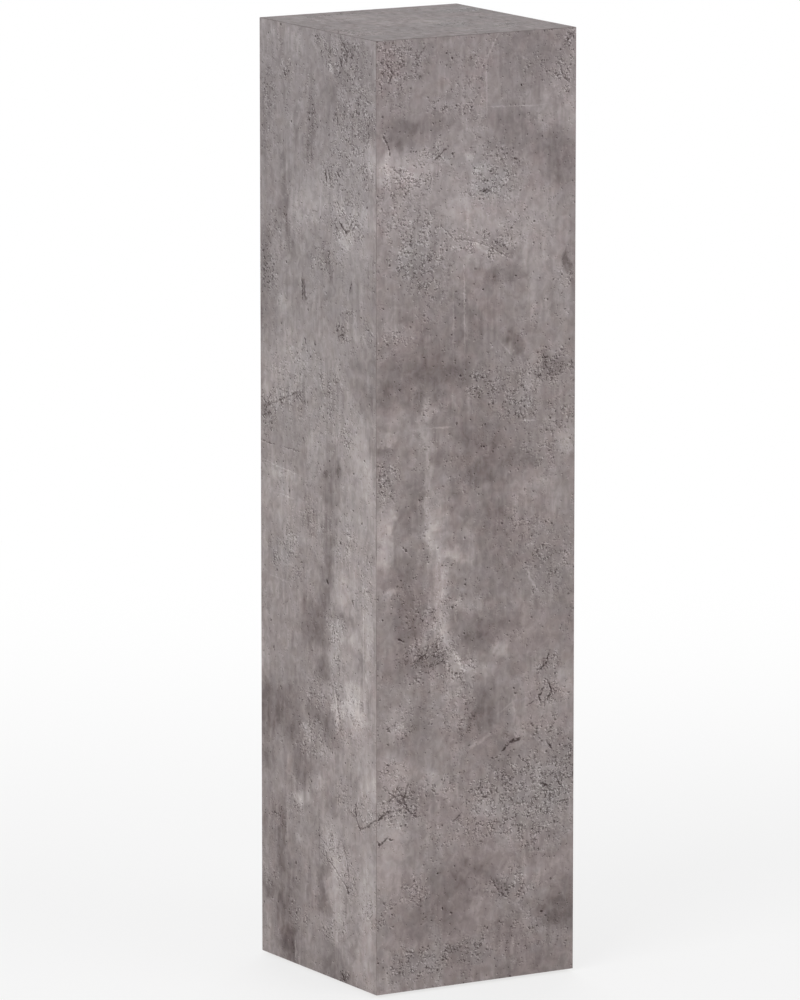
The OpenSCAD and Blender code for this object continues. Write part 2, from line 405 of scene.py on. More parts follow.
# The concrete-look laminate. Marks are in mm on the face as seen from outside: across from its
# middle, and up from the floor. A tone below 0 is darker than its surroundings.
frontFace = {
    "side": "front",
    "turn": (-90, 0, 0),
    "seed": 40,
    "clouds": 0.45,                     # the rest of the unevenness is drawn
    "strokes": 1.0,
    "lighter": 0,
    # across, up, half width, half height, tone, and a slant in degrees where there is one
    "stains": [
        (0, 830, 130, 75, 3.5), (15, 800, 42, 42, 3), (-102, 808, 24, 32, 2), (-20, 700, 110, 45, -3.6),
        (0, 602, 68, 56, -3.2), (56, 980, 38, 34, -4), (-80, 982, 38, 22, -2), (-92, 905, 22, 13, -6),
        (-60, 911, 36, 9, -4.5), (-98, 892, 9, 9, -6), (-86, 867, 32, 17, 9), (-112, 864, 12, 12, 5),
        (-70, 850, 18, 7, 5, -30), (98, 866, 18, 30, -8), (80, 882, 16, 16, -6), (52, 878, 24, 32, -3),
        (112, 918, 16, 22, 5), (109, 757, 5, 11, -16), (80, 916, 8, 18, 6), (37, 903, 26, 22, -5),
        (-8, 873, 9, 5, 7), (-23, 822, 18, 12, 5), (68, 770, 11, 78, 3), (95, 728, 24, 60, 4),
        (90, 820, 14, 30, 3), (29, 779, 16, 9, -8, -35), (15, 752, 9, 12, -8), (28, 750, 12, 7, -6),
        (48, 744, 9, 8, -7), (112, 758, 10, 18, -4), (-66, 765, 12, 14, -4), (-3, 710, 11, 14, -6),
        (-25, 722, 5, 20, -5), (-95, 695, 18, 10, 5), (-55, 682, 30, 12, -3), (47, 676, 9, 13, -8),
        (-74, 644, 40, 24, -6), (-58, 654, 38, 15, -4), (-112, 632, 12, 14, -8), (-60, 624, 14, 9, -6),
        (-105, 655, 14, 16, -4), (-26, 648, 22, 14, -4), (-10, 684, 18, 13, -4), (93, 650, 17, 10, -8),
        (62, 640, 14, 26, 4), (-107, 588, 8, 9, 9), (-96, 608, 9, 12, 5), (-77, 598, 8, 5, 5),
        (-55, 618, 6, 10, 7), (-82, 622, 16, 10, -4), (-110, 573, 12, 6, -6), (-110, 486, 11, 34, 12),
        (-83, 500, 14, 16, -6), (-73, 527, 11, 15, -7), (3, 541, 15, 12, -8), (27, 533, 12, 8, -6),
        (0, 565, 30, 26, -4), (-24, 527, 7, 14, -6), (-43, 560, 8, 12, -6), (16, 576, 20, 14, -3),
        (67, 555, 7, 8, -5), (46, 552, 26, 12, -4), (110, 568, 12, 16, 9), (74, 523, 22, 14, 5),
        (13, 500, 22, 20, -6), (30, 450, 26, 44, -4.5), (-45, 470, 11, 50, 4), (-90, 446, 17, 12, -5),
        (-84, 396, 15, 40, -9), (-107, 434, 11, 8, -4), (-99, 425, 10, 6, 11), (-88, 342, 26, 12, -6),
        (14, 381, 34, 14, -8), (5, 363, 15, 12, -6), (27, 357, 12, 12, 8, 25), (-60, 354, 18, 12, -8),
        (-25, 458, 14, 6, 10, -18), (-13, 406, 18, 9, 6), (94, 440, 18, 24, -3), (110, 450, 10, 12, 4),
        (107, 392, 11, 26, -4), (-24, 336, 12, 13, 6), (10, 290, 15, 24, -10), (-14, 268, 11, 11, -6),
        (35, 296, 7, 14, -4), (32, 242, 13, 24, -5), (-66, 285, 12, 34, -6), (-100, 290, 12, 16, 6),
        (-27, 305, 12, 20, 5), (55, 272, 7, 18, 5), (85, 300, 28, 30, 3), (111, 315, 11, 26, 7),
        (-100, 240, 22, 16, 8), (-90, 208, 12, 8, -4), (-45, 218, 24, 10, 7, -35), (8, 192, 28, 14, 6),
        (38, 150, 14, 12, 4), (102, 240, 18, 14, -3), (-107, 160, 17, 48, 9), (0, 168, 110, 18, 2),
        (7, 121, 25, 7, -7, -30), (-12, 108, 14, 10, -5), (-36, 115, 25, 14, -8, 15),
        (31, 100, 12, 7, -8, -40), (-53, 80, 40, 18, -8, 10), (103, 68, 27, 13, -12), (106, 92, 20, 12, -5),
        (-85, 34, 12, 9, -4), (0, 87, 8, 10, 5), (38, 62, 13, 20, -5), (82, 34, 40, 24, -3),
        (67, 113, 28, 14, 3), (-20, 36, 22, 14, -5), (-106, 12, 12, 22, 6), (38, 8, 16, 16, -4),
        (84, 10, 20, 12, -4), (-70, 150, 14, 14, -3),
    ],
    # width, tone, points; a crack's tone is how dark it is
    "veins": [
        (7.0, 9, [(-57, 628), (-64, 603), (-62, 573), (-57, 550), (-58, 527), (-53, 488)]),
        (14.0, 11, [(-55, 490), (-47, 468), (-43, 447), (-41, 427), (-45, 405), (-45, 378)]),
        (11.0, 11, [(-43, 378), (-34, 362), (-22, 350), (-14, 338), (14, 336)]),
        (2.4, 6, [(-47, 468), (-42, 447), (-40, 427), (-44, 401), (-42, 377), (-31, 361), (-20, 349)]),
        (1.5, 13, [(-15, 753), (-14, 681)]), (1.3, 9, [(-28, 741), (-28, 687)]),
        (1.2, 8, [(-65, 707), (-64, 690)]), (1.2, 9, [(14, 924), (38, 923), (60, 922)]),
        (1.2, 5, [(60, 922), (84, 922)]), (2.2, 10, [(25, 998), (11, 973), (12, 931)]),
        (3.6, 9, [(-7, 787), (8, 775), (25, 768)]), (2.6, 13, [(61, 439), (66, 425), (75, 413)]),
        (1.5, 10, [(-54, 595), (-31, 594)]), (1.6, 14, [(56, 594), (68, 593)]),
        (1.1, 5, [(68, 593), (112, 592)]), (3.4, 11, [(-5, 255), (6, 259), (15, 265)]),
        (6.0, 6, [(-40, 638), (-30, 622), (-24, 615)]), (2.4, 9, [(33, 290), (45, 297), (48, 285)]),
        (1.6, 9, [(31, 676), (38, 669), (42, 664)]),
    ],
    "cracks": [
        (1.4, 44, [(89, 345), (86, 336), (77, 327)]), (1.6, 46, [(82, 308), (77, 300), (79, 294)]),
        (1.6, 46, [(89, 313), (92, 305), (88, 296)]), (1.2, 36, [(63, 292), (70, 295)]),
        (2.6, 40, [(42, 255), (52, 257)]), (1.5, 44, [(33, 247), (38, 252)]),
        (1.4, 40, [(67, 272), (70, 269)]), (1.3, 40, [(88, 249), (92, 243)]),
        (1.8, 46, [(-120, 187), (-110, 195), (-100, 197)]),
        (1.5, 44, [(-120, 166), (-115, 162), (-108, 168), (-100, 166)]),
        (1.6, 44, [(6, 206), (9, 200), (15, 199)]), (1.2, 36, [(-53, 214), (-47, 210)]),
        (1.5, 36, [(-111, 901), (-106, 892), (-103, 881)]), (1.2, 34, [(-52, 872), (-43, 879), (-37, 884)]),
        (1.8, 44, [(108, 986), (114, 993), (117, 990)]), (1.0, 24, [(-70, 981), (-62, 990)]),
        (1.2, 32, [(-100, 868), (-92, 862), (-83, 853), (-68, 852)]), (1.9, 46, [(6, 837), (14, 838)]),
        (1.0, 20, [(-40, 802), (-27, 790), (-7, 787)]), (1.0, 20, [(-7, 787), (13, 780), (37, 767)]),
        (1.4, 30, [(20, 110), (29, 96), (40, 88)]),
        (1.3, 36, [(-110, 221), (-100, 213), (-87, 200), (-73, 188)]),
        (1.3, 40, [(-83, 221), (-88, 207), (-80, 193)]), (1.2, 36, [(-107, 207), (-95, 213), (-80, 208)]),
        (2.0, 44, [(79, 207), (88, 203)]), (1.1, 32, [(-27, 178), (-19, 184)]),
        (1.4, 40, [(-93, 377), (-87, 374)]), (1.3, 38, [(-89, 474), (-83, 468)]),
        (1.8, 40, [(-106, 284), (-104, 281)]), (1.2, 38, [(-70, 352), (-62, 358)]),
        (1.2, 38, [(-48, 345), (-40, 350)]), (1.4, 40, [(-107, 975), (-100, 966), (-104, 958)]),
        (1.2, 38, [(101, 960), (104, 950), (110, 945)]), (1.4, 42, [(100, 208), (106, 200)]),
    ],
    # across, up, half width, half height, density, coolness
    "pores": [
        (0, 60, 160, 170, 0, -0.1), (0, 900, 140, 170, 0, 0.16), (-105, 976, 14, 26, 1.4, -0.2),
        (-78, 976, 18, 18, 0.9, 0.2), (-43, 926, 13, 9, 0.9, 0), (-5, 935, 14, 40, 0.5, 0),
        (106, 953, 12, 20, 1.1, 0), (113, 988, 8, 9, 1.6, 0), (70, 965, 16, 16, 0.5, 0),
        (-44, 878, 14, 9, 1.1, 0.6), (-86, 860, 26, 12, 1.0, 0), (-62, 850, 12, 8, 1.1, 0),
        (13, 843, 20, 13, 1.3, 0.5), (28, 862, 26, 26, 0.5, 0.3), (-95, 825, 24, 25, 0.6, 0),
        (-62, 783, 27, 28, 0.9, 0.6), (-84, 765, 16, 14, 0.7, 0.5), (8, 786, 32, 12, 0.9, 0.1),
        (30, 772, 14, 10, 0.7, 0), (50, 802, 18, 18, 0.4, 0), (-97, 690, 20, 9, 1.0, -0.1),
        (3, 637, 18, 14, 1.1, 0.3), (98, 648, 24, 15, 1.3, 0.2), (42, 630, 26, 24, 0.6, 0.2),
        (55, 608, 16, 14, 0.8, 0.3), (-107, 543, 13, 20, 1.6, 0.3), (-60, 743, 20, 8, 0.8, 0),
        (100, 592, 20, 22, 0.6, 0), (105, 740, 12, 10, 0.8, 0), (76, 560, 28, 18, 0.4, 0.2),
        (-55, 352, 30, 16, 1.3, 0), (-15, 340, 14, 10, 0.8, 0), (92, 437, 24, 36, 0.6, 0.2),
        (88, 335, 14, 12, 0.9, 0), (90, 302, 14, 14, 1.0, 0), (85, 262, 22, 12, 0.9, 0),
        (-58, 402, 28, 30, 0.5, 0), (60, 484, 28, 14, 0.6, 0), (-22, 300, 20, 30, 0.6, 0),
        (-90, 290, 14, 20, 0.7, 0), (-93, 205, 20, 18, 1.8, 0), (-100, 238, 14, 8, 1.0, 0),
        (-50, 214, 20, 10, 0.8, 0), (16, 206, 22, 15, 1.2, 0), (56, 192, 40, 24, 1.2, 0.6),
        (97, 200, 26, 28, 1.3, 0.4), (0, 166, 40, 14, 0.8, 0), (62, 226, 48, 14, 0.8, 0.2),
        (70, 156, 24, 14, 1.0, 0.2), (-73, 108, 14, 12, 1.2, 0), (42, 101, 26, 12, 1.2, 0),
        (-67, 32, 30, 16, 1.0, 0.3), (-18, 40, 22, 16, 0.9, 0.3), (-110, 90, 10, 14, 0.8, 0),
        (110, 236, 10, 14, 1.2, 0.2), (60, 60, 28, 18, 0.5, 0),
    ],
}

leftFace = {
    "side": "left",
    "turn": (-90, 90, 0),
    "seed": 410,
    "clouds": 0.45,
    "strokes": 1.0,
    "lighter": 0,
    "stains": [
        (75, 440, 60, 360, 5), (-112, 900, 18, 60, -3), (-45, 985, 16, 22, 5), (-102, 975, 18, 28, 4),
        (-14, 900, 7, 42, -8), (-43, 900, 5, 32, -5), (-98, 935, 8, 30, -3), (28, 965, 4, 7, 15),
        (60, 988, 13, 10, -6), (86, 978, 22, 18, -4), (50, 945, 22, 28, -6), (95, 945, 24, 30, -2),
        (110, 908, 18, 8, -7), (75, 902, 20, 16, -3), (20, 925, 20, 30, -3), (57, 934, 12, 9, 4),
        (111, 877, 15, 16, 7), (-112, 870, 10, 16, -5), (-68, 842, 6, 30, -8), (-72, 806, 9, 11, -7),
        (-59, 778, 6, 20, -8, 24), (28, 834, 30, 26, 4), (64, 812, 20, 12, 4), (-30, 815, 24, 34, 4),
        (-8, 813, 16, 14, 5), (-5, 840, 20, 20, 2), (104, 815, 18, 14, 7), (58, 791, 16, 9, 8),
        (-106, 768, 10, 13, -6), (17, 764, 9, 11, -8), (27, 752, 5, 9, -11), (25, 731, 7, 6, -7),
        (-28, 725, 2.4, 14, -15), (-32, 723, 8, 10, -5), (-110, 736, 16, 24, -6), (-103, 680, 18, 28, -4),
        (-116, 700, 11, 22, -5), (-70, 703, 13, 11, 8), (60, 715, 45, 40, -4), (116, 745, 12, 30, -5),
        (50, 691, 11, 11, -4), (-75, 642, 48, 36, 5), (-95, 612, 20, 20, 3), (-40, 655, 30, 20, 2),
        (5, 640, 40, 10, 2), (95, 668, 30, 15, -4), (78, 650, 24, 16, -5), (24, 636, 8, 13, -4),
        (92, 628, 20, 17, -6), (116, 638, 12, 28, -8), (112, 585, 13, 12, -6), (-112, 593, 11, 14, -7),
        (-7, 566, 9, 14, 5), (-70, 527, 26, 4, 7, 4), (-85, 510, 34, 32, 4), (90, 570, 22, 26, 5),
        (108, 535, 13, 22, 6), (28, 530, 20, 24, -9), (42, 544, 12, 8, -4), (27, 563, 9, 13, -5),
        (13, 538, 5, 4, -9), (41, 543, 6, 5, -9), (24, 472, 12, 40, -9), (19, 424, 13, 32, -9),
        (10, 380, 15, 30, -9), (-18, 392, 16, 12, -5), (14, 332, 11, 16, -6), (-18, 368, 22, 20, -8),
        (5, 325, 10, 15, -7), (-63, 480, 30, 34, 4), (-60, 443, 16, 24, 4), (-24, 464, 12, 8, 4),
        (-23, 483, 3, 12, -11), (-88, 490, 8, 10, -5), (-114, 440, 10, 24, 6), (-114, 322, 10, 26, 7),
        (-112, 500, 12, 20, 4), (-100, 410, 16, 14, 3), (84, 350, 9, 12, -6), (53, 390, 20, 5, -6, -12),
        (103, 372, 8, 40, 8), (76, 373, 8, 12, 7), (45, 395, 10, 5, -5), (52, 420, 12, 16, 5),
        (37, 360, 12, 34, 4), (-104, 272, 26, 34, -12), (-108, 216, 14, 13, -7), (-60, 272, 24, 24, -8),
        (-53, 247, 18, 18, -5), (0, 279, 24, 11, -9, -25), (27, 257, 18, 8, -7), (-38, 216, 18, 18, -8),
        (-22, 222, 10, 16, -6), (-95, 150, 16, 30, -5), (74, 312, 20, 12, 9, 15), (60, 297, 22, 10, 9),
        (80, 286, 18, 14, 9), (37, 285, 5, 16, 9, 18), (23, 280, 10, 20, -8), (100, 238, 18, 40, 5),
        (113, 221, 13, 16, 6), (72, 223, 16, 12, -6), (-24, 256, 15, 7, 6, -25), (-32, 185, 20, 8, 7),
        (-43, 182, 11, 5, 8), (0, 205, 14, 9, 7), (30, 190, 10, 12, -4), (20, 171, 22, 10, 4, -20),
        (24, 150, 15, 13, 7), (45, 126, 15, 17, 8), (30, 127, 14, 12, 4), (40, 72, 11, 30, 7),
        (-77, 138, 9, 38, -11), (-62, 92, 25, 30, -7), (-64, 40, 24, 27, -8), (-50, 130, 12, 12, -4),
        (-78, 66, 7, 14, -7), (-102, 74, 14, 8, -9), (-62, 18, 16, 22, -12), (-48, 16, 3, 9, 12),
        (-40, 137, 5, 8, 8), (-108, 30, 9, 34, 4), (5, 93, 8, 20, -11), (16, 76, 11, 8, -8),
        (13, 117, 12, 5, -6), (27, 103, 12, 12, 6), (30, 18, 24, 18, -9), (62, 15, 12, 14, -5),
        (16, 42, 16, 9, -6), (100, 92, 16, 58, 8), (80, 20, 12, 12, 5), (104, 20, 11, 16, 5),
        (73, 37, 6, 11, -6),
    ],
    "veins": [
        (1.2, 12, [(-105, 533), (-78, 530), (-45, 528)]), (1.2, 12, [(-78, 502), (-58, 501)]),
        (2.0, 8, [(93, 420), (94, 330)]), (1.0, 9, [(-100, 412), (-60, 410)]),
        (1.6, 8, [(-72, 400), (-71, 382)]), (2.6, 12, [(34, 312), (38, 296), (42, 276)]),
        (2.0, 12, [(95, 343), (104, 326)]),
    ],
    "cracks": [
        (2.1, 58, [(46, 804), (54, 799), (60, 796), (66, 799), (70, 806)]),
        (1.4, 40, [(36, 802), (43, 795)]), (1.3, 38, [(40, 826), (48, 818), (58, 814)]),
        (1.3, 36, [(72, 799), (78, 806), (86, 803)]), (1.3, 38, [(44, 686), (52, 689), (54, 681)]),
        (1.0, 28, [(-120, 554), (-106, 553), (-92, 553)]), (0.9, 20, [(-70, 553), (-38, 553)]),
        (1.4, 36, [(-88, 598), (-64, 607), (-44, 614), (-34, 607)]),
        (1.2, 34, [(-118, 600), (-104, 593), (-88, 598)]),
        (1.5, 38, [(79, 200), (77, 192), (79, 182), (87, 173)]),
        (1.4, 34, [(87, 173), (100, 178), (113, 186), (120, 189)]),
        (1.1, 22, [(8, 147), (24, 140), (44, 146)]), (1.2, 36, [(52, 150), (60, 133), (63, 118)]),
        (1.2, 28, [(10, 132), (30, 124), (46, 114), (61, 104)]), (2.0, 42, [(56, 108), (63, 101)]),
        (1.7, 46, [(50, 11), (54, 6)]), (1.9, 44, [(17, 853), (19, 845)]), (1.6, 42, [(24, 855), (26, 846)]),
        (1.5, 38, [(40, 856), (46, 852)]), (1.7, 40, [(-60, 511), (-59, 508)]),
        (1.7, 40, [(19, 426), (20, 423)]), (1.9, 42, [(72, 412), (73, 409)]),
        (1.6, 38, [(-100, 365), (-98, 364)]), (1.7, 40, [(-93, 335), (-92, 333)]),
        (1.4, 38, [(4, 252), (9, 251)]), (1.4, 36, [(-70, 800), (-66, 798)]),
        (1.7, 40, [(-26, 673), (-25, 670)]), (1.5, 38, [(-6, 674), (-5, 671)]),
        (1.6, 36, [(-78, 296), (-77, 294)]), (1.5, 44, [(54, 990), (62, 982), (60, 974)]),
        (1.4, 42, [(46, 975), (52, 966)]), (1.3, 40, [(92, 928), (98, 916)]),
        (1.4, 42, [(-70, 950), (-64, 944)]), (1.3, 38, [(40, 920), (42, 905)]),
        (1.2, 36, [(70, 745), (66, 735)]), (1.4, 40, [(-32, 735), (-31, 716)]),
        (1.3, 36, [(37, 312), (40, 298), (45, 282)]),
    ],
    "pores": [
        (0, 960, 170, 380, 0, 0.7), (0, 500, 400, 900, 0, 0.18), (-60, 20, 60, 40, 0, -0.1),
        (62, 978, 32, 20, 1.4, 0.4), (30, 968, 9, 14, 1.0, 0), (86, 930, 34, 26, 0.9, 0.2),
        (60, 905, 28, 18, 0.8, 0.1), (96, 905, 11, 18, 1.2, 0.2), (62, 876, 34, 13, 1.0, 0.1),
        (32, 853, 19, 8, 1.3, 0.2), (102, 858, 15, 10, 1.0, 0), (62, 812, 34, 28, 0.8, 0.3),
        (64, 800, 22, 9, 0.8, 0), (-64, 950, 11, 11, 1.2, 0), (-102, 915, 12, 50, 0.6, 0.3),
        (-15, 895, 11, 36, 0.7, 0), (-82, 787, 38, 12, 0.5, 0), (15, 762, 23, 12, 1.2, 0),
        (-82, 985, 10, 6, 0.9, 0), (10, 985, 16, 6, 1.0, 0), (-104, 733, 18, 20, 1.2, 0.5),
        (48, 690, 12, 11, 1.3, 0), (68, 710, 8, 5, 1.2, 0), (27, 634, 20, 10, 1.0, 0),
        (-58, 608, 26, 7, 1.2, 0.1), (-92, 598, 22, 8, 1.4, 0.1), (-105, 586, 17, 17, 1.7, 0.1),
        (-45, 640, 44, 22, 0.5, 0.1), (58, 581, 12, 12, 1.0, 0.1), (0, 592, 60, 28, 0.35, 0.1),
        (105, 695, 12, 12, 0.8, 0), (-82, 437, 13, 14, 0.9, 0.5), (-50, 440, 14, 24, 0.6, 0),
        (38, 380, 17, 14, 0.9, 0.5), (36, 342, 10, 28, 0.8, 0.3), (41, 300, 9, 28, 1.1, 0),
        (72, 290, 24, 22, 0.5, 0), (-14, 261, 28, 9, 1.4, 0.2), (100, 430, 14, 40, 0.5, 0.1),
        (-10, 482, 38, 14, 0.5, 0), (60, 470, 18, 22, 0.6, 0), (0, 300, 30, 18, 0.7, 0),
        (-60, 460, 12, 10, 0.8, 0), (96, 187, 26, 12, 1.0, 0), (35, 138, 32, 16, 0.8, 0),
        (-98, 87, 12, 9, 1.1, 0), (-40, 60, 22, 8, 0.9, 0), (30, 55, 24, 12, 0.7, 0), (54, 9, 8, 7, 1.3, 0),
        (108, 85, 13, 18, 0.8, 0), (48, 208, 13, 13, 0.9, 0), (-18, 241, 36, 9, 0.8, 0),
        (-90, 160, 14, 10, 0.7, 0), (62, 110, 20, 15, 0.8, 0), (-45, 176, 16, 8, 0.8, 0.2),
    ],
}


def scatterMarks(side, turn, seed, low, high, stainCount, veinCount, poreCount, strength=1.0):
    # the same kinds of mark, strewn over a face whose own marks can't be made out
    pick = random.Random(seed)
    half = pillar["half"]

    def spot():
        return pick.uniform(-half, half), pick.uniform(low, high)

    def walk(steps, length, lean):
        across, up = spot()
        points = [(across, up)]
        for count in range(steps):
            across += pick.gauss(lean, 7)
            up -= length * pick.uniform(0.6, 1.2)
            points.append((across, up))
        return points

    stains = []
    for count in range(stainCount // 4):
        across, up = spot()
        wide, tall = pick.uniform(40, 90), pick.uniform(40, 80)
        stains.append((across, up, wide, tall, pick.uniform(-4, 4) * strength))
    for count in range(stainCount):
        # a patch and a smaller one over its edge
        across, up = spot()
        wide, tall = pick.uniform(12, 36), pick.uniform(9, 26)
        tone = pick.choice((-7, -6, -5, -4, 4, 5, 6, 7)) * strength
        stains.append((across, up, wide, tall, tone))
        across += pick.choice((-0.7, 0.7)) * wide
        up += pick.uniform(-0.8, 0.8) * tall
        wide *= pick.uniform(0.3, 0.6)
        tall *= pick.uniform(0.4, 0.8)
        stains.append((across, up, wide, tall, tone * 0.8))
    for count in range(stainCount // 3):
        across, up = spot()
        wide, tall = pick.uniform(4, 10), pick.uniform(24, 50)
        stains.append((across, up, wide, tall, pick.uniform(-9, 7) * strength))
    veins = [(pick.uniform(2, 5), 12 * strength, walk(6, 26, 2)) for count in range(veinCount)]
    for count in range(veinCount * 2):
        veins.append((1.2, 9 * strength, walk(1, 45, 0)))
    cracks = [(pick.uniform(1.1, 1.7), 44 * strength, walk(3, 6, 3)) for count in range(poreCount // 2)]
    zones = []
    for count in range(poreCount):
        across, up = spot()
        wide, tall = pick.uniform(12, 34), pick.uniform(10, 26)
        zones.append((across, up, wide, tall, pick.uniform(0.4, 1.05), pick.uniform(-0.2, 0.9)))
    return {"side": side, "turn": turn, "seed": seed, "clouds": 1.0, "strokes": 1.0, "lighter": 0,
            "stains": stains, "veins": veins, "cracks": cracks, "pores": zones}


rightFace = scatterMarks("right", (-90, -90, 0), 771, 0, pillar["top"], 42, 2, 18)
backFace = scatterMarks("back", (-90, 180, 0), 913, 0, pillar["top"], 42, 2, 18)
topFace = scatterMarks("top", (0, 0, 0), 325, -pillar["half"], pillar["half"], 8, 1, 5, 0.4)
# painted light: the top's print is one grey level lighter, for how the light falls on the top
topFace.update(clouds=0.5, strokes=0.4, lighter=1)

decor = {
    "level": 136,                       # middle grey level of the print
    "stainStrength": 2.2,               # grey levels for each unit of a stain's tone
    "veinStrength": 1.8,
    "strayPores": 0.3,                  # pores outside the drawn beds of them
    "strayZones": 38,                   # size of the zones that have them, mm
    "poreDarkness": 63,
    "fullCrack": 38,                    # tone of a drawn crack that is as dark as a pore
    "rimLightness": 28,
    "fleckLightness": 22,
    "grainContrast": 74,
    "film": 0.12,                       # thickness of the printed film, mm
    "core": (100, 90, 86),              # the brown core under it
    "coreZones": 30,                    # size of the stretches where an edge shows more of it, mm
    "roughness": 0.7,
    "bump": 0.5,                        # strength of the fine texture of the surface
    "relief": 0.04,                     # its height, mm
    "reliefSize": 1.6,                  # and its grain, mm
    "sheen": 0.05,                      # specular level
    # grey level and its colour, from pits to lime bloom
    "colours": [
        (60, (66, 56.5, 57)), (105, (111.5, 102, 102)), (138, (144.5, 135.5, 135.5)),
        (165, (171.5, 162.5, 162.5)), (195, (201, 193, 193)),
    ],
    "cool": (0.96, 0.998, 1.004, 1),    # tint of the greyer beds
    "warm": (1.0, 0.975, 0.975, 1),     # tint of the pinkish clouds
    "sallow": (1.0, 1.0, 0.955, 1),     # tint of the yellower patches
    "sallowUp": (960, 560),             # the height over which it grows downwards, mm
    "sallowShare": (0.1, 0.5),          # and its share above and below
    # size and amount of the pushes that give marks their edges, mm
    "wobbles": {
        "broad": (26.0, 26.0),
        "crisp": (5.0, 4.5),
        "crinkled": (2.6, 3.0),
        "loose": (6.0, 8.0),
        "looser": (2.4, 3.4),
        "ragged": (9.0, 16.0),
    },
    "wideStain": 38,                    # a stain past this half size fades slowly
    "wideVein": 4.5,                    # a vein past this width is a loose band, not a line
    "crackWidth": 1.4,                  # of the dark line, as a share of the width of its rim
    "crackBreaks": 3.4,                 # length of the stretches in which it comes and goes, mm
    "rimAside": 0.9,                    # how far down and left of a crack its pale rim lies, mm
}


def drawShape(tree, coords, across, up, wide, high, slant, softness):
    if not slant:
        inputs = {
            "Vector": coords, "Shrink": (1 / wide, 1 / high, 0),
            "Shift": (-across / wide, -up / high, 0), "Softness": softness}
        return useGroup(tree, stain, inputs)[0]
    lean = math.radians(slant)
    inputs = {
        "Vector": coords, "Centre": (across, up, 0),
        "Along": (math.cos(lean) / wide, math.sin(lean) / wide, 0),
        "Across": (-math.sin(lean) / high, math.cos(lean) / high, 0),
        "Softness": softness}
    return useGroup(tree, stroke, inputs)[0]


def drawLine(tree, coords, points, width, softness):
    # thin ellipses laid end to end, a little over each other
    strongest = None
    for (x1, y1), (x2, y2) in zip(points, points[1:]):
        reach = math.hypot(x2 - x1, y2 - y1) / 2 * 1.2 + width / 2
        slant = math.degrees(math.atan2(y2 - y1, x2 - x1))
        mask = drawShape(tree, coords, (x1 + x2) / 2, (y1 + y2) / 2, reach, width / 2, slant, softness)
        strongest = mask if strongest is None else calc(tree, "MAXIMUM", strongest, mask)
    return strongest


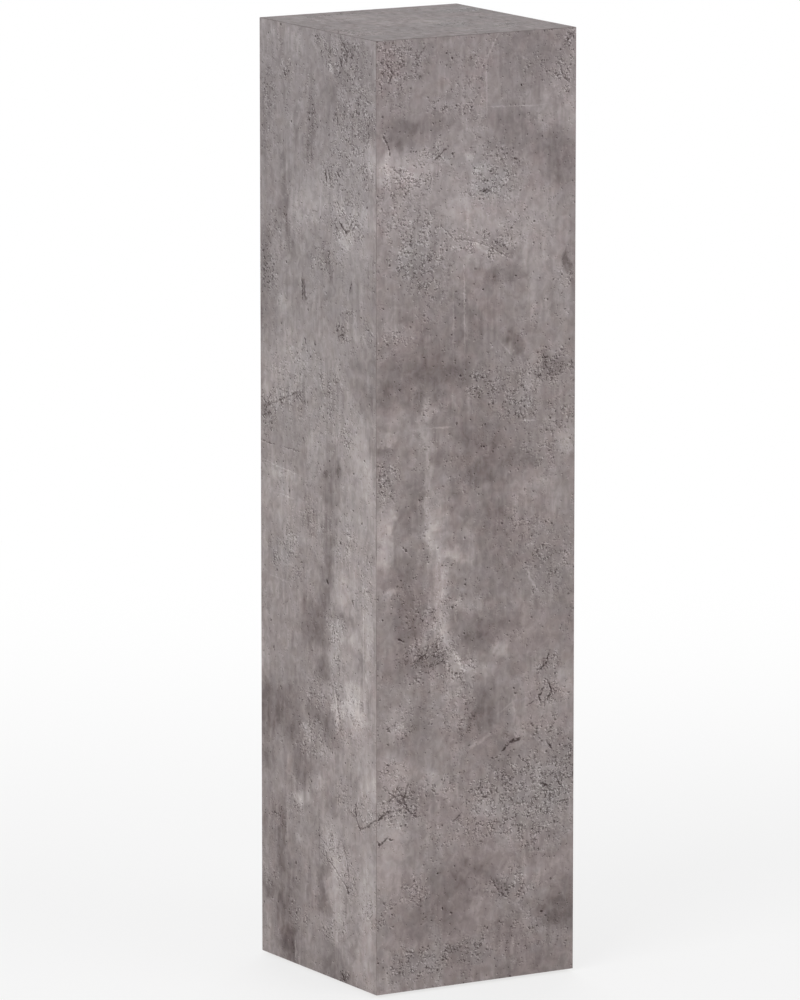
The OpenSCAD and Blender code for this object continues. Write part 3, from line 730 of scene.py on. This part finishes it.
def decorMaterial(name, face):
    material, tree, place = startMaterial(name)
    coords = stretch(tree, inMm(tree, place, face["turn"]), (1, 1, 0))
    seeded = vector(tree, "ADD", coords, (face["seed"], face["seed"] * 0.6, 0))

    wobbles = decor["wobbles"]
    broad = pushed(tree, coords, wobbles["broad"])
    crisp = pushed(tree, coords, wobbles["crisp"])
    crinkled = pushed(tree, crisp, wobbles["crinkled"])
    loose = pushed(tree, broad, wobbles["loose"])
    loose = pushed(tree, loose, wobbles["looser"])
    ragged = pushed(tree, broad, wobbles["ragged"])

    # each kind of mark is summed on its own
    stained, veined, cracked, rimmed = 0.0, 0.0, 0.0, 0.0
    for across, up, wide, high, strength, *slant in face["stains"]:
        softness = 0.75 if max(wide, high) > decor["wideStain"] else 0.55
        mask = drawShape(tree, loose, across, up, wide, high, sum(slant), softness)
        stained = calc(tree, "MULTIPLY_ADD", mask, strength * decor["stainStrength"], stained)
    for width, strength, points in face["veins"]:
        drawnOn, softness = (loose, 0.95) if width > decor["wideVein"] else (crisp, 0.8)
        line = drawLine(tree, drawnOn, points, width, softness)
        veined = calc(tree, "MULTIPLY_ADD", line, strength * decor["veinStrength"], veined)
    for width, strength, points in face["cracks"]:
        line = drawLine(tree, crinkled, points, width * decor["crackWidth"], 0.5)
        cracked = calc(tree, "MAXIMUM", cracked, times(tree, line, strength / decor["fullCrack"]))
        beside = [(across - decor["rimAside"], up - decor["rimAside"]) for across, up in points]
        rimmed = calc(tree, "MAXIMUM", rimmed, drawLine(tree, crinkled, beside, width, 0.5))
    broken = ramp(tree, noise(tree, seeded, decor["crackBreaks"], 1, flat="2D"), 0.36, 0.48, 0.3, 1.0)
    cracked = times(tree, cracked, broken)
    scarce = ramp(tree, noise(tree, seeded, decor["strayZones"], 2, flat="2D"), 0.4, 0.7)
    density = times(tree, scarce, decor["strayPores"])
    cool = 0.0
    for across, up, wide, high, crowd, coolness in face["pores"]:
        mask = drawShape(tree, ragged, across, up, wide, high, 0, 0.85)
        density = calc(tree, "MULTIPLY_ADD", mask, crowd, density)
        if coolness:
            cool = calc(tree, "MULTIPLY_ADD", mask, coolness, cool)

    inputs = {"Vector": seeded, "Clouds": face["clouds"], "Strokes": face["strokes"]}
    body = useGroup(tree, concrete, inputs)
    cool = plus(tree, cool, body["Warmth"])
    pitted = useGroup(tree, pores, {"Vector": seeded, "Density": density})
    pits = calc(tree, "MAXIMUM", pitted["Pits"], cracked)
    rims = calc(tree, "MAXIMUM", pitted["Rims"], minus(tree, rimmed, cracked))
    # each face's tone is raised by its painted light, grey levels that stand in for how the light falls on
    # that face
    tone = plus(tree, body["Tone"], decor["level"] + face["lighter"])
    tone = plus(tree, tone, plus(tree, stained, veined))
    layers = [
        (pits, -decor["poreDarkness"]), (rims, decor["rimLightness"]),
        (pitted["Flecks"], decor["fleckLightness"]), (pitted["Grain"], decor["grainContrast"])]
    for mask, amount in layers:
        tone = calc(tree, "MULTIPLY_ADD", mask, amount, tone)

    # the sheet's dark core shows where the arris is eased, at the mitres and from below
    across, through, up = put(tree, "SeparateXYZ", {"Vector": place}).outputs
    outward = {"front": through, "back": through, "left": across, "right": across, "top": up}[face["side"]]
    surface = (pillar["top"] if face["side"] == "top" else pillar["half"]) * mm
    depth = minus(tree, surface, calc(tree, "ABSOLUTE", outward))
    depth = calc(tree, "DIVIDE", depth, mm)
    core = ramp(tree, depth, decor["film"] * 0.6, decor["film"] * 1.6)
    patchy = ramp(tree, noise(tree, seeded, decor["coreZones"], 3, flat="2D"), 0.36, 0.6, 0.4, 1.0)
    patchy = calc(tree, "MAXIMUM", patchy, ramp(tree, depth, 0.6, 0.7))

    first, last = decor["colours"][0][0], decor["colours"][-1][0]
    position = ramp(tree, tone, first, last, smooth=False)
    tint = put(tree, "ValToRGB", {"Fac": position})
    stops = tint.color_ramp.elements
    while len(stops) < len(decor["colours"]):
        stops.new(0.5)
    for stop, (grey, colour) in zip(stops, decor["colours"]):
        stop.position = (grey - first) / (last - first)
        stop.color = srgb(*colour)
    cooling = ramp(tree, cool, 0.0, 0.9, smooth=False)
    warming = ramp(tree, cool, 0.02, -0.16, smooth=False)
    colour = mixColours(tree, cooling, tint.outputs["Color"], decor["cool"], "MULTIPLY")
    colour = mixColours(tree, warming, colour, decor["warm"], "MULTIPLY")
    upper, lower = decor["sallowUp"]
    sallow = ramp(tree, up, upper * mm, lower * mm, *decor["sallowShare"])
    sallow = plus(tree, sallow, body["Sallow"])
    colour = mixColours(tree, sallow, colour, decor["sallow"], "MULTIPLY")
    colour = mixColours(tree, times(tree, core, patchy), colour, srgb(*decor["core"]))

    height = noise(tree, seeded, decor["reliefSize"], 1, flat="2D")
    rough = calc(tree, "MULTIPLY_ADD", pits, 0.25, decor["roughness"])
    rough = calc(tree, "MULTIPLY_ADD", body["Fine"], -0.006, rough)
    finishMaterial(tree, decor, colour, rough, height)
    print("%s: %d nodes" % (name, len(tree.nodes)))
    return material


def paint(name, material):
    for slot in nodes[name].material_slots:
        slot.material = material


for face in (frontFace, leftFace, rightFace, backFace, topFace):
    paint(face["side"] + "_laminate", decorMaterial(face["side"] + "Decor", face))
print("laminates: painted")


# Everything inside the case, seen from below or when a piece is taken out. Relief is in mm.

woods = {
    "softwood": {
        "early": (214, 178, 132), "late": (176, 124, 72), "pore": (150, 100, 58), "poreShare": 0.15,
        "ring": 3.4, "waviness": 1.0, "roughness": 0.62, "bump": 0.5, "relief": 0.12, "sheen": 0.35},
    "hardwood": {
        "early": (196, 146, 104), "late": (178, 122, 82), "pore": (112, 66, 40), "poreShare": 0.75,
        "ring": 2.2, "waviness": 0.5, "roughness": 0.5, "bump": 0.5, "relief": 0.12, "sheen": 0.35},
}
pith = (31, -47, 0)                     # where the middle of the trunk would lie, mm


def woodMaterial(kind, axis):
    # the grain runs along the named axis
    look = woods[kind]
    turn = {"X": (0, -90, 0), "Y": (90, 0, 0), "Z": (0, 0, 0)}[axis]
    material, tree, place = startMaterial(kind + "Along" + axis)
    coords = inMm(tree, place, turn)
    inputs = {"Vector": coords, "Pith": pith, "Ring": look["ring"], "Waviness": look["waviness"]}
    grain = useGroup(tree, timber, inputs)
    colour = mixColours(tree, grain["Ring"], srgb(*look["early"]), srgb(*look["late"]))
    fibre = ramp(tree, grain["Fibre"], 0.3, 0.7, 0.86, 1.08, smooth=False)
    shade = put(tree, "CombineColor", {"Red": fibre, "Green": fibre, "Blue": fibre}).outputs["Color"]
    colour = mixColours(tree, 1.0, colour, shade, "MULTIPLY")
    pored = times(tree, grain["Pores"], look["poreShare"])
    colour = mixColours(tree, pored, colour, srgb(*look["pore"]))
    height = minus(tree, grain["Fibre"], times(tree, pored, 0.6))
    rough = calc(tree, "MULTIPLY_ADD", grain["Ring"], -0.12, look["roughness"])
    finishMaterial(tree, look, colour, rough, height)
    return material


board = {
    "pale": (186, 154, 116),
    "dark": (148, 112, 78),
    "fibre": (206, 178, 142),
    "glue": (96, 72, 48),               # thin line along the mitres
    "roughness": 0.88,
    "bump": 0.6,
    "relief": 0.15,
    "sheen": 0.25,
}


def boardMaterial(name, mitred):
    material, tree, place = startMaterial(name)
    coords = inMm(tree, place)
    mix = useGroup(tree, fibreboard, {"Vector": coords})
    colour = mixColours(tree, ramp(tree, mix["Tone"], 0.35, 0.65), srgb(*board["pale"]), srgb(*board["dark"]))
    colour = mixColours(tree, times(tree, mix["Fibres"], 0.45), colour, srgb(*board["fibre"]))
    if mitred:
        away = put(tree, "SeparateXYZ", {"Vector": vector(tree, "ABSOLUTE", coords)}).outputs
        apart = calc(tree, "ABSOLUTE", minus(tree, away["X"], away["Y"]))
        colour = mixColours(tree, ramp(tree, apart, 0.28, 0.1, 0.0, 0.8), colour, srgb(*board["glue"]))
    rough = calc(tree, "MULTIPLY_ADD", mix["Fibres"], -0.1, board["roughness"])
    finishMaterial(tree, board, colour, rough, plus(tree, mix["Fibres"], mix["Tone"]))
    return material


backing = {
    "pale": (118, 104, 94),
    "dark": (92, 80, 72),
    "fleck": (150, 134, 120),
    "roughness": 0.6,
    "bump": 0.4,
    "relief": 0.05,
    "sheen": 0.35,
}


def backingMaterial():
    # brown backing sheet, its face sanded for the glue
    material, tree, place = startMaterial("backing")
    coords = inMm(tree, place)
    cloud = noise(tree, coords, 35, 3)
    sanded = noise(tree, stretch(tree, coords, (1, 1, 0.02)), 0.6, 2)
    fleck = ramp(tree, noise(tree, coords, 1.4, 2, 0.7), 0.62, 0.74)
    tone = plus(tree, times(tree, cloud, 0.6), times(tree, sanded, 0.4))
    colour = mixColours(tree, ramp(tree, tone, 0.35, 0.65), srgb(*backing["dark"]), srgb(*backing["pale"]))
    colour = mixColours(tree, times(tree, fleck, 0.4), colour, srgb(*backing["fleck"]))
    rough = calc(tree, "MULTIPLY_ADD", sanded, 0.25, backing["roughness"] - 0.12)
    finishMaterial(tree, backing, colour, rough, sanded)
    return material


zinc = {
    "plain": (205, 198, 176),
    "yellow": (206, 184, 120),
    "violet": (190, 178, 186),
    "roughness": 0.3,
    "bump": 0.3,
    "relief": 0.05,
    "sheen": 0.5,
    "metallic": 1.0,
}


def zincMaterial():
    # yellow passivated zinc, with the faint play of colours that it has
    material, tree, place = startMaterial("zinc")
    coords = inMm(tree, place)
    first = noise(tree, coords, 4, 3, 0.6)
    second = noise(tree, coords, 2.4, 2, 0.6, 0.8)
    colour = mixColours(tree, ramp(tree, first, 0.38, 0.6), srgb(*zinc["plain"]), srgb(*zinc["yellow"]))
    colour = mixColours(tree, ramp(tree, second, 0.54, 0.7, 0.0, 0.6), colour, srgb(*zinc["violet"]))
    rough = calc(tree, "MULTIPLY_ADD", noise(tree, coords, 0.8, 3, 0.7), 0.3, zinc["roughness"] - 0.12)
    finishMaterial(tree, zinc, colour, rough, first)
    return material


nylon = {
    "base": (52, 50, 48),
    "worn": (96, 92, 88),
    "roughness": 0.5,
    "bump": 0.5,
    "relief": 0.06,
    "sheen": 0.4,
}


def nylonMaterial():
    # moulded with a fine grain, and scuffed where the glide has slid on the floor
    material, tree, place = startMaterial("nylon")
    coords = inMm(tree, place)
    grain = noise(tree, coords, 0.5, 2, 0.6)
    height = put(tree, "SeparateXYZ", {"Vector": coords}).outputs["Z"]
    sole = ramp(tree, height, 0.35, 0.05)
    slid = noise(tree, stretch(tree, coords, (1, 0.07, 1)), 0.6, 3, 0.7)
    other = noise(tree, stretch(tree, coords, (0.09, 1, 1)), 0.7, 3, 0.7)
    scuffs = times(tree, ramp(tree, calc(tree, "MAXIMUM", slid, other), 0.52, 0.72), sole)
    cloud = ramp(tree, noise(tree, coords, 7, 3), 0.35, 0.65, 0.0, 0.25)
    worn = calc(tree, "MAXIMUM", times(tree, scuffs, 0.8), cloud)
    colour = mixColours(tree, worn, srgb(*nylon["base"]), srgb(*nylon["worn"]))
    rough = calc(tree, "MULTIPLY_ADD", scuffs, 0.25, nylon["roughness"])
    rough = calc(tree, "MULTIPLY_ADD", grain, 0.1, rough)
    finishMaterial(tree, nylon, colour, rough, minus(tree, grain, scuffs))
    return material


boardLook, caseLook = boardMaterial("fibreboard", False), boardMaterial("mitredFibreboard", True)
backingLook, zincLook, nylonLook = backingMaterial(), zincMaterial(), nylonMaterial()
woodLooks = {(kind, axis): woodMaterial(kind, axis) for kind in woods for axis in "XYZ"}
corners = ["front_left", "front_right", "back_right", "back_left"]
for side in sides + ["top"]:
    paint(side + "_panel", boardLook if side == "top" else caseLook)
    paint(side + "_backer", backingLook)
paint("base_panel", boardLook)
for side in sides:
    axis = "X" if side in ("front", "back") else "Y"
    paint(side + "_cleat", woodLooks["softwood", axis])
    paint("top_" + side + "_spline", woodLooks["hardwood", axis])
for corner in corners:
    paint(corner + "_spline", woodLooks["hardwood", "Z"])
    paint(corner + "_block", woodLooks["softwood", "Z"])
    paint(corner + "_glide", nylonLook)
for name in ("cleat_screws", "base_screws", "glide_nails"):
    paint(name, zincLook)
print("inner pieces: painted")


# Threads of the wood screws and rings of the glide nails. The construction model has plain shanks.
# Lengths in mm; places are for the front side or the front left corner, and turn round to the others.
threads = {
    "radius": 2.0,                      # of the shank
    "crest": 0.35,                      # how far the thread stands out of it
    "pitch": 1.8,
    "start": 9.0,                       # from the head
    "turns": 9,
    "steps": 20,                        # facets in one turn
    "cleatScrews": [(-55, -82.6, 32), (55, -82.6, 32)],
    "baseScrew": (0, -92.6, 6),
    "nail": (-80.1, -80.1, 0),
    "reach": 0.5,                       # half the height of the thread's profile
    "nailRadius": 1.2,
    "nailCrest": 0.18,
    "nailReach": 0.45,
    "nailRings": 7,
    "firstRing": 7.4,                   # above the floor
    "ringGap": 1.2,
    "bite": 0.15,                       # how far a profile reaches into its shank
}


def addProfile(shape, radius, crest, height, reach):
    # a triangle that bites a little into the shank
    inner = radius - threads["bite"]
    places = [(inner, 0, height - reach), (radius + crest, 0, height), (inner, 0, height + reach)]
    points = [shape.verts.new(place) for place in places]
    edges = [shape.edges.new((points[a], points[(a + 1) % 3])) for a in range(3)]
    return points, edges


def addThread(shape, matrix):
    points, edges = addProfile(
        shape, threads["radius"], threads["crest"], threads["start"], threads["reach"])
    steps = threads["turns"] * threads["steps"]
    shape.faces.new(points)
    before = set(shape.verts) - set(points)
    spun = bmesh.ops.spin(
        shape, geom=points + edges, cent=(0, 0, 0), axis=(0, 0, 1), steps=steps,
        dvec=(0, 0, threads["pitch"] / threads["steps"]), angle=threads["turns"] * 2 * math.pi)
    last = [item for item in spun["geom_last"] if isinstance(item, bmesh.types.BMVert)]
    shape.faces.new(last)
    made = [vert for vert in shape.verts if vert not in before]
    bmesh.ops.transform(shape, matrix=matrix, verts=made)


def addRing(shape, matrix, height):
    points, edges = addProfile(
        shape, threads["nailRadius"], threads["nailCrest"], height, threads["nailReach"])
    before = set(shape.verts) - set(points)
    bmesh.ops.spin(
        shape, geom=points + edges, cent=(0, 0, 0), axis=(0, 0, 1), angle=2 * math.pi,
        steps=threads["steps"], use_merge=True)
    made = [vert for vert in shape.verts if vert not in before]
    bmesh.ops.transform(shape, matrix=matrix, verts=made)


def finishPiece(name, shape, material):
    bmesh.ops.remove_doubles(shape, verts=shape.verts, dist=0.0005)
    bmesh.ops.recalc_face_normals(shape, faces=shape.faces)
    bmesh.ops.scale(shape, vec=(mm, mm, mm), verts=shape.verts)
    mesh = bpy.data.meshes.new(name)
    shape.to_mesh(mesh)
    shape.free()
    mesh.materials.append(material)
    piece = bpy.data.objects.new(name, mesh)
    bpy.context.collection.objects.link(piece)
    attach(piece, "root")


cleatThreads, baseThreads, nailRings = bmesh.new(), bmesh.new(), bmesh.new()
for quarter in range(4):
    turned = Matrix.Rotation(math.radians(90) * quarter, 4, "Z")
    for spot in threads["cleatScrews"]:
        lying = Matrix.Translation(spot) @ Matrix.Rotation(math.radians(90), 4, "X")
        addThread(cleatThreads, turned @ lying)
    addThread(baseThreads, turned @ Matrix.Translation(threads["baseScrew"]))
    for count in range(threads["nailRings"]):
        height = threads["firstRing"] + count * threads["ringGap"]
        addRing(nailRings, turned @ Matrix.Translation(threads["nail"]), height)
finishPiece("cleatScrewThreads", cleatThreads, zincLook)
finishPiece("baseScrewThreads", baseThreads, zincLook)
finishPiece("nailRings", nailRings, zincLook)
print("threads and rings: made")


# Floor, lights and camera
studio = {
    "horizonLight": 0.84,               # strength of the light from all round, at eye level
    "zenithLight": 0.18,                # and from straight above
    "floorColour": (0.86, 0.86, 0.86, 1),
    "floorRadius": 40,                  # m
    "floorDrop": 0.0002,                # below the glides, m
    "lamps": [                          # place, size, power, all aimed at the middle of the pillar
        ((-3.2, -1.6, 1.7), 2.4, 76),
        ((1.6, -3.4, 2.0), 2.4, 35),
        ((1.6, 2.7, 1.75), 2.4, 52),
    ],
}


def seenDirectly(tree):
    # 1 for what the camera, a gloss or a clear thing sees, 0 for light on its way
    path = put(tree, "LightPath").outputs
    seen = calc(tree, "MAXIMUM", path["Is Camera Ray"], path["Is Glossy Ray"])
    return calc(tree, "MAXIMUM", seen, path["Is Transmission Ray"])


def makeSky():
    world = bpy.data.worlds.new("studio")
    bpy.context.scene.world = world
    tree = emptyTree(world)
    rise = put(tree, "SeparateXYZ", {"Vector": put(tree, "TexCoord").outputs["Generated"]}).outputs["Z"]
    strength = ramp(tree, rise, 0.0, 1.0, studio["horizonLight"], studio["zenithLight"], smooth=False)
    lit = put(tree, "Background", {"Color": (1, 1, 1, 1), "Strength": strength})
    seen = put(tree, "Background", {"Color": (1, 1, 1, 1), "Strength": 1.0})
    both = put(tree, "MixShader", {0: seenDirectly(tree), 1: lit.outputs[0], 2: seen.outputs[0]})
    put(tree, "OutputWorld", {"Surface": both.outputs[0]})


def makeFloor():
    shape = bmesh.new()
    bmesh.ops.create_circle(shape, cap_ends=True, segments=96, radius=studio["floorRadius"])
    bmesh.ops.translate(shape, vec=(0, 0, -studio["floorDrop"]), verts=shape.verts)
    mesh = bpy.data.meshes.new("floor")
    shape.to_mesh(mesh)
    shape.free()
    floor = bpy.data.objects.new("floor", mesh)
    bpy.context.collection.objects.link(floor)
    material = bpy.data.materials.new("floor")
    tree = emptyTree(material)
    matt = put(tree, "BsdfDiffuse", {"Color": studio["floorColour"]})
    glow = put(tree, "Emission", {"Color": (1, 1, 1, 1), "Strength": 1.0})
    apart = vector(tree, "LENGTH", put(tree, "TexCoord").outputs["Object"])
    share = times(tree, seenDirectly(tree), ramp(tree, apart, 0.5, 2.5, 0.72, 1.0))
    both = put(tree, "MixShader", {0: share, 1: matt.outputs[0], 2: glow.outputs[0]})
    # nothing from below, so that the foot of the pillar can be looked at
    below = put(tree, "NewGeometry").outputs["Backfacing"]
    clear = put(tree, "BsdfTransparent")
    top = put(tree, "MixShader", {0: below, 1: both.outputs[0], 2: clear.outputs[0]})
    put(tree, "OutputMaterial", {"Surface": top.outputs[0]})
    mesh.materials.append(material)


def makeLamps():
    target = Vector((0, 0, pillar["top"] * mm / 2))
    for count, (place, size, power) in enumerate(studio["lamps"]):
        lamp = bpy.data.lights.new("lamp%d" % count, "AREA")
        lamp.size = size
        lamp.energy = power
        body = bpy.data.objects.new("lamp%d" % count, lamp)
        body.location = place
        body.rotation_euler = (Vector(place) - target).to_track_quat("Z", "Y").to_euler()
        bpy.context.collection.objects.link(body)


# The camera of the photograph, fitted to the outline of the pillar
camera = {
    "azimuth": -30.64,
    "elevation": 10.17,
    "distance": 8.645,
    "lens": 297.1,                      # mm
    "sensor": 36,                       # its width, mm
    "clip": 200,                        # nothing is drawn past it, m
    "aside": -0.0178,                   # sideways and upward steps of the camera, m
    "lift": -0.005,
    "centre": 0.5015,                   # height it looks at
}


def makeCamera():
    turn, tilt = math.radians(camera["azimuth"]), math.radians(camera["elevation"])
    back = Vector((math.sin(turn) * math.cos(tilt), -math.cos(turn) * math.cos(tilt), math.sin(tilt)))
    right = Vector((math.cos(turn), math.sin(turn), 0))
    upward = back.cross(right)
    data = bpy.data.cameras.new("camera")
    data.lens = camera["lens"]
    data.sensor_width = camera["sensor"]
    data.clip_end = camera["clip"]
    body = bpy.data.objects.new("camera", data)
    eye = back * camera["distance"] + right * camera["aside"] + upward * camera["lift"]
    eye.z += camera["centre"]
    body.matrix_world = Matrix.Translation(eye) @ Matrix((right, upward, back)).transposed().to_4x4()
    bpy.context.collection.objects.link(body)
    bpy.context.scene.camera = body


makeSky()
makeFloor()
makeLamps()
makeCamera()
bpy.context.scene.view_settings.view_transform = "Standard"
print("studio: ready")
